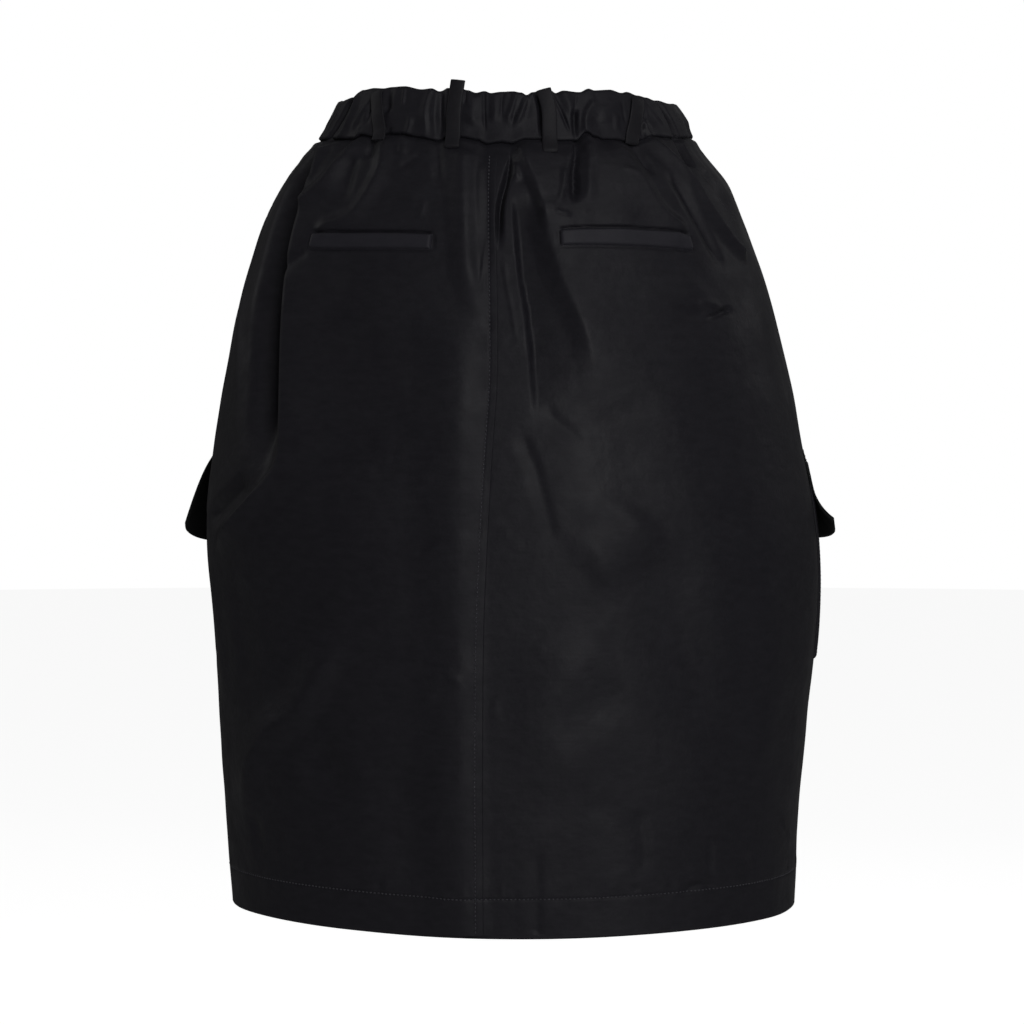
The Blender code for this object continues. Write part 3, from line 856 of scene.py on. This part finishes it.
band = {
    "wall": 3.0,
    "bulge": 1.1,  # the casing puffs out between its edges
    "pinned": 0.62,  # the share of the gathers' depth that is left at its edges
    "topRound": 1.5,
    "footRound": 2.2,
    "relief": (0.22, 9, 5),  # depth, size and seed of its unevenness
    "rows": 29,
    "insideRows": 8,
    "insideGathers": 0.8,  # the share of the gathers that shows inside
    # name: node, the turns of its ends, mesh columns, cut
    "pieces": {
        "band_back": ("waistband_back", leftSide, rightSide, 400, (0.385, 0.037)),
        "band_front": ("waistband_front", rightSide, leftSideRound, 330, (0.56, 0.037)),
    },
}
topWave = [  # how much lower the top edge runs, in mm
    (-180, 0), (-166, 1.2), (-152, -0.8), (-138, 1), (-120, 1.5), (-104, 5), (-88, 7), (-76, 8.4), (-66, 5.8),
    (-60, 0.8), (-54, -0.6), (-50, -0.4), (-46, -1.6), (-40, -2.2), (-33, -0.4), (-28, -1.2), (-25, 0.6),
    (-21, -1.8), (-16, -2), (-12, -0.6), (-8, 1.2), (-4, 0), (-1, 1.4), (4, 0.6), (9, 0.4), (13, 1.4),
    (15.5, 3.2), (18, 1.4), (22, 0.2), (26, 0.6), (28, 2.6), (31, 1.2), (38, 2.6), (41.5, 0.4), (44, 1.8),
    (50, 1.6), (55, 4), (57, 3.4), (62, 6), (66, 7.4), (70, 9), (82, 11), (96, 10), (112, 8), (126, 5),
    (134, 2), (140, -1), (156, 1), (170, -0.6), (180, 0),
]
bandFolds = [
    # left end: a hard edge over a deep gap
    fold([(-61.6, -30), (-61, -16), (-61.8, -7), (-63.6, 1)], 2.6, 8, 3, crisp=0.9, start=0.1, end=0),
    fold([(-64, -30), (-65.4, -18), (-66.6, -10), (-68, -2), (-69, 3)], 7, 4, -14, crisp=0.3, start=0.2,
         end=0),
    fold([(-54.4, -24), (-56.5, -14), (-58.5, -4)], 3.5, 4, 1.6, crisp=0.6),
    fold([(-55, -8), (-55, 2)], 3, 4, 1.2, crisp=0.5, end=0),
    fold([(-52.8, -26), (-52, -8)], 4, 3, -2.2, crisp=0.4),
    fold([(-46.3, -36), (-45.6, -24), (-44, -14)], 6, 6, -2.4, crisp=0.3, start=0),
    fold([(-42.4, -6), (-41.6, 3)], 6, 5, -2, crisp=0.3, end=0),
    fold([(-39.6, -36), (-38.4, -19)], 2.4, 2.4, 1.6, crisp=0.8, start=0),
    fold([(-34.5, -14), (-34.6, 2)], 4, 4, 1.4, crisp=0.4, end=0),
    fold([(-28, -36), (-29, -18), (-26.6, 2)], 7, 3.5, 1.6, crisp=0.5, start=0, end=0),
    fold([(-23.6, -36), (-22.6, -14), (-21.2, 2)], 4.4, 5, -4, crisp=0.5, start=0, end=0),
    fold([(-25.5, -32), (-22.5, -26)], 2, 2, 0.8, crisp=0.6),
    fold([(-12.2, -36), (-12, -20)], 2.2, 2.2, -3, crisp=0.6, start=0),
    fold([(-8.4, -30), (-8, -4)], 9, 7, 2.4, crisp=0.1),
    fold([(-4.2, -36), (-3.5, -16), (-2.6, 3)], 2.2, 2.4, -4.6, crisp=0.85, start=0, end=0),
    fold([(0.8, -32), (1.4, -6)], 5, 6, 2, crisp=0.1),
    fold([(6.2, -33), (4.2, -24), (4, -10)], 2, 2.6, -2.6, crisp=0.7),
    fold([(11.6, -32), (8.6, -18), (5.8, -6)], 3.5, 5, 2.4, crisp=0.5),
    fold([(9.4, -35), (7.8, -24)], 3, 3, -2, crisp=0.5),
    fold([(16.2, -30), (13, -16), (9.6, -4)], 3.5, 4.5, 2.6, crisp=0.5),
    fold([(12.6, -32), (10.4, -20), (8.6, -4)], 2, 2.2, -2.4, crisp=0.7),
    fold([(16.2, -36), (15.6, -22), (13.4, -12)], 2, 2.2, -3.2, crisp=0.7, start=0),
    fold([(18.4, -36), (20.4, -22), (21, -10), (20.4, 3)], 3, 3.4, -6.5, crisp=0.7, start=0, end=0),
    fold([(25.4, -32), (28.8, -17), (31.2, -4), (31.4, 2)], 2, 2.2, -6, crisp=0.85, start=0.1, end=0),
    fold([(30.4, -34), (32.6, -22), (33.2, -12)], 6, 6, 2.2, crisp=0.1),
    fold([(36.6, -31), (34.6, -20), (33, -9)], 1.8, 2, -4, crisp=0.8),
    fold([(34.8, -20), (33.9, -6), (33.4, 3)], 3.2, 3.2, -7, crisp=0.7, start=0.3, end=0),
    fold([(44, -25), (40.4, -20), (38.2, -12), (37.6, -1)], 3.4, 9, 2.4, crisp=0.4, end=0.1),
    fold([(46, -22), (44.6, -6)], 9, 9, 1.2, crisp=0),
    fold([(49.6, -16), (49.2, -2)], 4, 3.5, 0.8, crisp=0.2),
    fold([(54.4, -36), (53, -20), (52.4, -6)], 2.2, 2.2, -4, crisp=0.8, start=0),
    fold([(63.4, -36), (62.2, -22), (59, -8), (57.2, 2)], 2.6, 2.8, -4, crisp=0.8, start=0, end=0),
    # right end: two lit ridges run off towards the side, and a deep gap opens behind them
    fold([(63.6, -27), (65, -20), (66.6, -13.5), (68.6, -8)], 3, 2.4, 2.4, crisp=0.9),
    fold([(58.6, -14), (60, -7), (61, -2), (62, 3)], 4, 5, 3.4, crisp=0.9, end=0),
    fold([(69.6, -33), (71, -24), (71.6, -16), (72.8, -6), (73.4, 3)], 4, 6, -16, crisp=0.2, start=0.15,
         end=0),
    fold([(79, -24), (79, 2)], 4, 6, 2.2, crisp=0.6, end=0),
]


def bandGathers():
    # the hidden stretches get gathers of the same kind, uneven and leaning, with a soft puff between them
    rng = np.random.default_rng(11)
    folds, turn = [], 80.0
    while turn < 284:
        lean, depth = rng.normal(0, 1.6), rng.uniform(1.2, 3.4)
        topShort, footShort = rng.choice([0, 0, 8, 14]), rng.choice([0, 0, 10])
        top, foot = (wrapped(turn) - lean, -36 + topShort), (wrapped(turn) + lean, 3 - footShort)
        route = [top, (wrapped(turn) + rng.normal(0, 0.8), -17), foot]
        left, right = rng.uniform(2.8, 4.4), rng.uniform(2.8, 4.4)
        start, end = (0.3 if short else 0.0 for short in (topShort, footShort))
        folds.append(fold(route, left, right, -depth, crisp=0.65, start=start, end=end))
        step = rng.uniform(4.5, 9.5)
        puff = wrapped(turn + step / 2)
        route = [(puff - lean, -30), (puff + lean * 0.5, -6)]
        folds.append(fold(route, step * 0.7, step * 0.8, rng.uniform(0.5, 1.6), crisp=0.1))
        turn += step
    return folds


bandFolds += bandGathers()


def bandShare(down):
    return np.clip(down / form["bandHeight"] + 1, 0, 1)


def bandDrop(turn, down):
    share = bandShare(down)
    return waveAt(turn, topWave) * (1 - share) + waveAt(turn, seamWave) * share


def bandSurface(turn, down, off):
    # the casing's outer face, gathered
    points = formPoints(turn, down)
    outward = unit(outwardOf(turn, down) * (1, 1, 0.25))
    rise = foldRise(points, outward, bandFolds, bandDrop)
    arch = np.sin(math.pi * bandShare(down))
    rise = rise * (band["pinned"] + (1 - band["pinned"]) * arch) + band["bulge"] * arch**0.6
    depth, size, seed = band["relief"]
    rise += depth * smoothNoise(points, size, seed)
    points = points + outward * (rise + off)[..., None]
    points[..., 2] -= bandDrop(turn, down)
    return points


def roundedEdge(distance, radius):
    # how far in a rounded edge lies, at a distance from its end
    return radius - np.sqrt(np.maximum(radius**2 - np.maximum(radius - distance, 0) ** 2, 0))


def bandGrid(startTurn, endTurn, columns):
    height = form["bandHeight"]
    outer, inner = np.linspace(0, height, band["rows"]), np.linspace(height - 0.5, 0.5, band["insideRows"])
    inset = roundedEdge(outer, band["topRound"]) + roundedEdge(height - outer, band["footRound"])
    downs = np.concatenate([outer, inner])[:, None] - height
    insets = np.concatenate([inset, np.full(len(inner), band["wall"])])[:, None]
    start, end = startTurn(downs), endTurn(downs)
    turn = start + np.linspace(0, 1, columns + 1) * (end - start)
    downs = np.broadcast_to(downs, turn.shape)
    face = bandSurface(turn, downs, -insets)
    # the inner face is gathered less than the outer one
    calm = formPoints(turn, downs) - outwardOf(turn, downs) * (1, 1, 0) * (band["wall"] + 0.6)
    calm[..., 2] = face[..., 2]
    kept = band["insideGathers"]
    face[len(outer):] = calm[len(outer):] * (1 - kept) + face[len(outer):] * kept
    return face


def addBands():
    for name, (node, startTurn, endTurn, columns, flat) in band["pieces"].items():
        grid = bandGrid(startTurn, endTurn, columns)
        piece = makePiece(name, grid, shellCloth, ring=True)
        finishPiece(piece, node)
        print(name, grid.shape[:2])


loopStrip = {
    "width": 10.4,
    "wall": 1.3,
    "crown": 0.3,
    "sides": 20,
    "lift": 1.3,  # off the band's form at its ends
    "step": 1.6,  # and further in the middle, over the seam and the gathers
    "tuck": 1.2,  # the lower end is folded under and stitched down
    "lifted": {"centre_right": 1.2},  # how much further out one lies, where the gathers under it are higher
    "cut": (0.0112, 0.052),
}
# where each loop's middle runs: turn and level down from its top end to its lower end
loops = {
    "back_left": [(-51.6, -31), (-48.6, -18), (-46, -6), (-44, 3.4)],
    "centre_left": [(-15.8, -37.4), (-16.4, -28), (-16.4, -14), (-15.7, 0), (-14.9, 9)],
    "centre_right": [(22.8, -30.6), (24.2, -20), (24.4, -12), (24, 2), (23, 12.6)],
    "back_right": [(59.4, -25.6), (57.6, -17), (55.6, -6), (53.2, 6.6)],
    "front_left": [(-146, -35.6), (-146.4, -18), (-147, 10)],
    "front_right": [(146, -35.6), (146.4, -18), (147, 10)],
}


def loopSection():
    # points round the flat strip's rounded cross-section: across it, and out
    angle = np.linspace(0, math.tau, loopStrip["sides"], endpoint=False)
    halfWidth = loopStrip["width"] / 2
    across = halfWidth * np.sign(np.cos(angle)) * abs(np.cos(angle)) ** 0.35
    out = loopStrip["wall"] / 2 * np.sign(np.sin(angle)) * abs(np.sin(angle)) ** 0.6
    return across[:, None, None], (out + loopStrip["crown"] * (1 - (across / halfWidth) ** 2))[:, None, None]


def addLoops():
    across, out = loopSection()
    for name, route in loops.items():
        turn, level = throughPoints(route, steps=14).T
        down = level - waistDip(turn, level) - seamDrop(turn, level)
        outward = unit(outwardOf(turn, np.maximum(down, -30)) * (1, 1, 0.2))
        share = np.linspace(0, 1, len(turn))
        # it lies on the gathers' tops, and close to the cloth at both ends
        step = loopStrip["step"] * np.sin(math.pi * np.clip(share, 0, 1)) ** 0.5
        lift = loopStrip["lift"] + step + loopStrip["lifted"].get(name, 0)
        centre = formPoints(turn, np.maximum(down, -form["bandHeight"])) + outward * lift[:, None]
        centre[:, 2] = -form["bandHeight"] / 2 - level
        tuck = loopStrip["tuck"] * np.clip((share - 0.97) / 0.03, 0, 1) ** 2
        centre = centre - outward * tuck[:, None]
        along = unit(np.gradient(centre, axis=0))
        sideways = unit(np.cross(outward, along))
        up = unit(np.cross(along, sideways))
        grid = centre[None] + sideways[None] * across + up[None] * out
        # the loops wear the taffeta painted darker, a painted shade
        piece = makePiece("belt_loop_" + name, grid, loopClothPaintedDarker, ring=True, sharpAngle=60)
        finishPiece(piece, "loop_" + name)
    print("loops made:", len(loops))


def addWelts():
    for name, welt in welts.items():
        start, end = welt["turns"]
        turns = np.linspace(start, end, weltShape["columns"])[None, :]
        frontRows, backRows = weltShape["frontRows"], weltShape["backRows"]
        share = np.concatenate([np.linspace(0, 1, frontRows), np.linspace(1, 0, backRows)])[:, None]
        front = np.arange(frontRows + backRows)[:, None] < frontRows
        down = weltDown(welt, turns, share)
        nearEdge = np.minimum(share, 1 - share) * (welt["downs"][1] - welt["downs"][0])
        nearEnd = np.minimum(turns - start, end - turns) * weltShape["turnWidth"] / weltShape["endRounding"]
        crown = weltShape["rise"] * np.sqrt(np.clip(nearEdge / weltShape["rounding"], 0, 1))
        crown = crown * np.clip(nearEnd, 0, 1) ** 0.5 + weltShape["crown"] * smooth(nearEdge / 5)
        crown = crown - weltShape["footDip"] * smooth((share - 0.86) / 0.14)
        off = np.where(front, crown, 0.15 - 0.25 * np.clip(1 - nearEnd, 0, 1))
        # the welts wear the taffeta painted lighter, a painted highlight
        piece = makePiece(
            "pocket_welt_" + name, clothPoints(turns, down, off), weltClothPaintedLighter, ring=True, sharpAngle=60,
        )
        finishPiece(piece, "welt_" + name)
    print("welts made:", len(welts))


pockets = {
    "top": 230,
    "foot": 372,
    "turnWidth": 40,  # forwards from the side seam
    "width": 128,  # the same, in mm
    "wall": 1.4,
    "puff": 0.96,
    "cloth": 0.8,
    "cut": (0.165, 0.150),
}
flaps = {
    "left": {"side": -1, "foot": 281, "stand": 19.5, "curve": 0.85},
    "right": {"side": 1, "foot": 275, "stand": 12.5, "curve": 4.4},
}
flapShape = {
    "top": 222,
    "height": 62,
    "slope": 14,  # how much lower the foot bows between the corners
    "corner": 3,
    "front": 0.5,  # the front edge stands off this share of the rear one
    "cloth": 1.3,
    "cut": (0.165, 0.072),
}
# a grid's lines are closer together at the edges
edgeSteps = [0, 0.006, 0.016], [0.984, 0.994, 1]
depthSteps = [0, 0.006, 0.014], [0.986, 0.994, 1]


def gridShares(steps, count):
    return np.concatenate([steps[0], np.linspace(0.03, 0.97, count), steps[1]])


def sideTurns(side, share, down):
    # share 0 is at the side seam and 1 at the pocket's front edge
    return side * (rightSide(down) + 0.2 + share * pockets["turnWidth"])


def pocketLine(flap, share, depth):
    # turn, down and stand-off of a place on the pocket
    height = pockets["foot"] - pockets["top"]
    edge = np.minimum(
        np.minimum(share, 1 - share) * pockets["width"], np.minimum(depth, 1 - depth) * height,
    )
    off = 0.4 + pockets["wall"] * np.sqrt(np.clip(edge / 2, 0, 1)) + pockets["puff"] * smooth(edge / 45)
    down = pockets["top"] + depth * height
    return sideTurns(flap["side"], share, down), down, off


def flapLine(flap, share, depth):
    # turn, down and stand-off of a place on the flap; the lower corners are rounded
    cut = roundedEdge(np.minimum(share, 1 - share) * 2 * flapShape["height"], flapShape["corner"])
    foot = flap["foot"] + flapShape["slope"] * np.sin(math.pi * np.clip(share, 0, 1)) ** 0.7 - cut
    down = flapShape["top"] + depth * (foot - flapShape["top"])
    forward = 1 + share * (flapShape["front"] - 1)
    # it clears the pocket's edge, and further forward the pocket's fullness
    clear = (pockets["wall"] + pockets["puff"]) * smooth(depth * 3) * (0.4 + 0.6 * smooth(share * 4))
    off = 0.4 + clear + flap["stand"] * forward * depth ** flap["curve"] + 0.5 * np.sin(share * 9) * depth
    return sideTurns(flap["side"], share, down), down, off


def addPockets():
    depth, flapDepth = gridShares(depthSteps, 50)[:, None], np.linspace(0, 1, 34)[:, None]
    for name, flap in flaps.items():
        share = gridShares(edgeSteps, 46)[None, ::flap["side"]]
        grid = clothPoints(*pocketLine(flap, *np.broadcast_arrays(share, depth)))
        patch = makePiece("cargo_pocket_" + name, grid, shellCloth)
        thicken(patch, pockets["cloth"])
        finishPiece(patch, "pocket_" + name)

        grid = clothPoints(*flapLine(flap, *np.broadcast_arrays(share, flapDepth)))
        cover = makePiece("cargo_flap_" + name, grid, flapClothPaintedDark)
        thicken(cover, flapShape["cloth"])
        finishPiece(cover, "flap_" + name)
    print("cargo pockets made:", len(flaps))


stitch = {
    "length": 1.9,
    "gap": 1.0,
    "thread": 0.5,
    "sides": 6,
    # share of the length, height over the cloth and share of the thickness at each ring of a stitch
    "rings": ((0, -0.35, 0.35), (0.18, 0.08, 0.9), (0.5, 0.22, 1), (0.82, 0.08, 0.9), (1, -0.35, 0.35)),
    "sunk": {"seam": 0.2, "hem": 0, "flap": -0.3, "pocket": -0.5},  # how far off the cloth each row lies
    "flapRows": (0.08, 0.13, 0.9),  # shares of the flap's height
    "flapEdges": (0.045, 0.955),
    # start and end of each row on the pocket: shares of its width, then of its height
    "pocketRows": (
        ((0.04, 0.04), (0.12, 0.972)),
        ((0.04, 0.96), (0.972, 0.972)),
        ((0.96, 0.96), (0.972, 0.12)),
    ),
}


def addStitches(name, lines):
    # each line is a row of places: turn, down and stand-off; stitches are small pointed rods along it
    verts, faces = [], []
    sides = stitch["sides"]
    circle = [(math.cos(a), math.sin(a)) for a in np.linspace(0, math.tau, sides, endpoint=False)]
    at, sink, size = np.transpose(stitch["rings"])
    for turn, down, off in lines:
        turn, down = np.broadcast_arrays(turn, down)
        points, outward = clothPoints(turn, down, off), outwardOf(turn, down)
        lengths = np.concatenate([[0], np.cumsum(np.linalg.norm(np.diff(points, axis=0), axis=1))])
        for start in np.arange(0.5, lengths[-1] - stitch["length"], stitch["length"] + stitch["gap"]):
            where = start + stitch["length"] * at
            place = np.stack([np.interp(where, lengths, points[:, k]) for k in range(3)], axis=1)
            out = unit(np.stack([np.interp(where, lengths, outward[:, k]) for k in range(3)], axis=1))
            along = unit(place[-1] - place[0])
            place = place + out * sink[:, None]
            base = len(verts)
            for p, o, share in zip(place, out, size):
                side = np.cross(o, along)
                verts += [p + (side * c + o * s) * stitch["thread"] * share for c, s in circle]
            for ring in range(base, len(verts) - sides, sides):
                for k in range(sides):
                    a, b = ring + k, ring + (k + 1) % sides
                    faces.append((a, b, b + sides, a + sides))
            faces.append(list(range(base, base + sides))[::-1])
            faces.append(list(range(len(verts) - sides, len(verts))))
    finishPiece(addMesh(name, verts, faces, threadPaintedLighter), None)
    print(name, "faces:", len(faces))


def addSeamStitches():
    down = np.linspace(9, form["length"] - 4, 300)
    addStitches("stitches_centre_back", [(besideSeam(down), down, stitch["sunk"]["seam"])])
    turn = np.linspace(-180, 180, 900)
    addStitches("stitches_hem", [(turn, form["length"] - hem["height"], stitch["sunk"]["hem"])])


def addPocketStitches():
    share, depth = np.linspace(0.035, 0.965, 120), np.linspace(0.1, 0.9, 60)
    flapRows = [(share, np.full(len(share), row)) for row in stitch["flapRows"]]
    flapRows += [(np.full(len(depth), edge), depth) for edge in stitch["flapEdges"]]
    pocketRows = [[np.linspace(*ends, 90) for ends in row] for row in stitch["pocketRows"]]
    for name, flap in flaps.items():
        for kind, rows, lineOf in (("flap", flapRows, flapLine), ("pocket", pocketRows, pocketLine)):
            lines = []
            for row in rows:
                turn, down, off = lineOf(flap, *row)
                lines.append((turn, down, off + stitch["sunk"][kind]))
            addStitches(f"stitches_{kind}_{name}", lines)


studio = {
    "floorHeight": -1.0,
    "floorRadius": 9.0,
    "floorSides": 96,
    "floorGlow": 0.9,
    "worldForCloth": 0.055,
    "aim": (0, 0, -0.28),
    "lights": {
        "key": {"place": (1.0, -2.85, 0.5), "size": (1.0, 2.8), "power": 33.5},
        "top": {"place": (1.2, -1.6, 2.4), "size": (1.6, 1.2), "power": 10},
        "right": {"place": (2.4, 1.3, 1.1), "size": (0.5, 1.6), "power": 5.5},
        "left": {"place": (-2.75, 0.4, 1.2), "size": (0.7, 2.0), "power": 7.5},
        "back": {"place": (0, 3, 0.8), "size": (3.0, 2.0), "power": 2.5},
    },
}


def addLight(name, place, size, power):
    light = bpy.data.lights.new(name, "AREA")
    light.shape = "RECTANGLE"
    light.size, light.size_y = size
    light.energy = power
    lamp = bpy.data.objects.new(name, light)
    lamp.location = place
    lamp.rotation_euler = (Vector(studio["aim"]) - Vector(place)).to_track_quat("-Z", "Y").to_euler()
    lamp.visible_camera = False
    bpy.context.scene.collection.objects.link(lamp)


def makeFloorPaint():
    # matt white paint on board, lit evenly, so that it shows as plain white
    material, tree, shader = newMaterial("matt white floor paint")
    shader.inputs["Base Color"].default_value = linear("d8d8d8")
    shader.inputs["Roughness"].default_value = 0.9
    shader.inputs["Specular IOR Level"].default_value = 0.1
    shader.inputs["Emission Color"].default_value = linear("ffffff")
    # the glow is only for the camera, so that the floor throws no light up on the skirt
    seen = addNode(tree, "ShaderNodeLightPath")
    glow = addNode(tree, "ShaderNodeMath", {"Value": seen.outputs["Is Camera Ray"]}, operation="MULTIPLY")
    glow.inputs[1].default_value = studio["floorGlow"]
    tree.links.new(glow.outputs["Value"], shader.inputs["Emission Strength"])
    return material


def addStudio():
    angle = np.linspace(0, math.tau, studio["floorSides"], endpoint=False)
    rim = np.stack([np.cos(angle), np.sin(angle), 0 * angle], axis=1) * studio["floorRadius"]
    rim[:, 2] = studio["floorHeight"]
    floor = addMesh("floor", rim / mm, [list(range(len(rim)))], makeFloorPaint())

    world = bpy.data.worlds.new("white studio")
    bpy.context.scene.world = world
    world.use_nodes = True
    tree = world.node_tree
    seen = addNode(tree, "ShaderNodeLightPath")
    strength = addNode(
        tree, "ShaderNodeMapRange", {"Value": seen.outputs["Is Camera Ray"]},
        **{"To Min": studio["worldForCloth"], "To Max": 1.0},
    )
    background = tree.nodes["Background"]
    background.inputs["Color"].default_value = (1, 1, 1, 1)
    tree.links.new(strength.outputs["Result"], background.inputs["Strength"])
    for name, settings in studio["lights"].items():
        addLight(name, **settings)
    bpy.context.scene.view_settings.view_transform = "Standard"
    print("studio set")


addCamera()
addStudio()
addPanels()
addBands()
addLoops()
addWelts()
addPockets()
addSeamStitches()
addPocketStitches()
print("all pieces made")
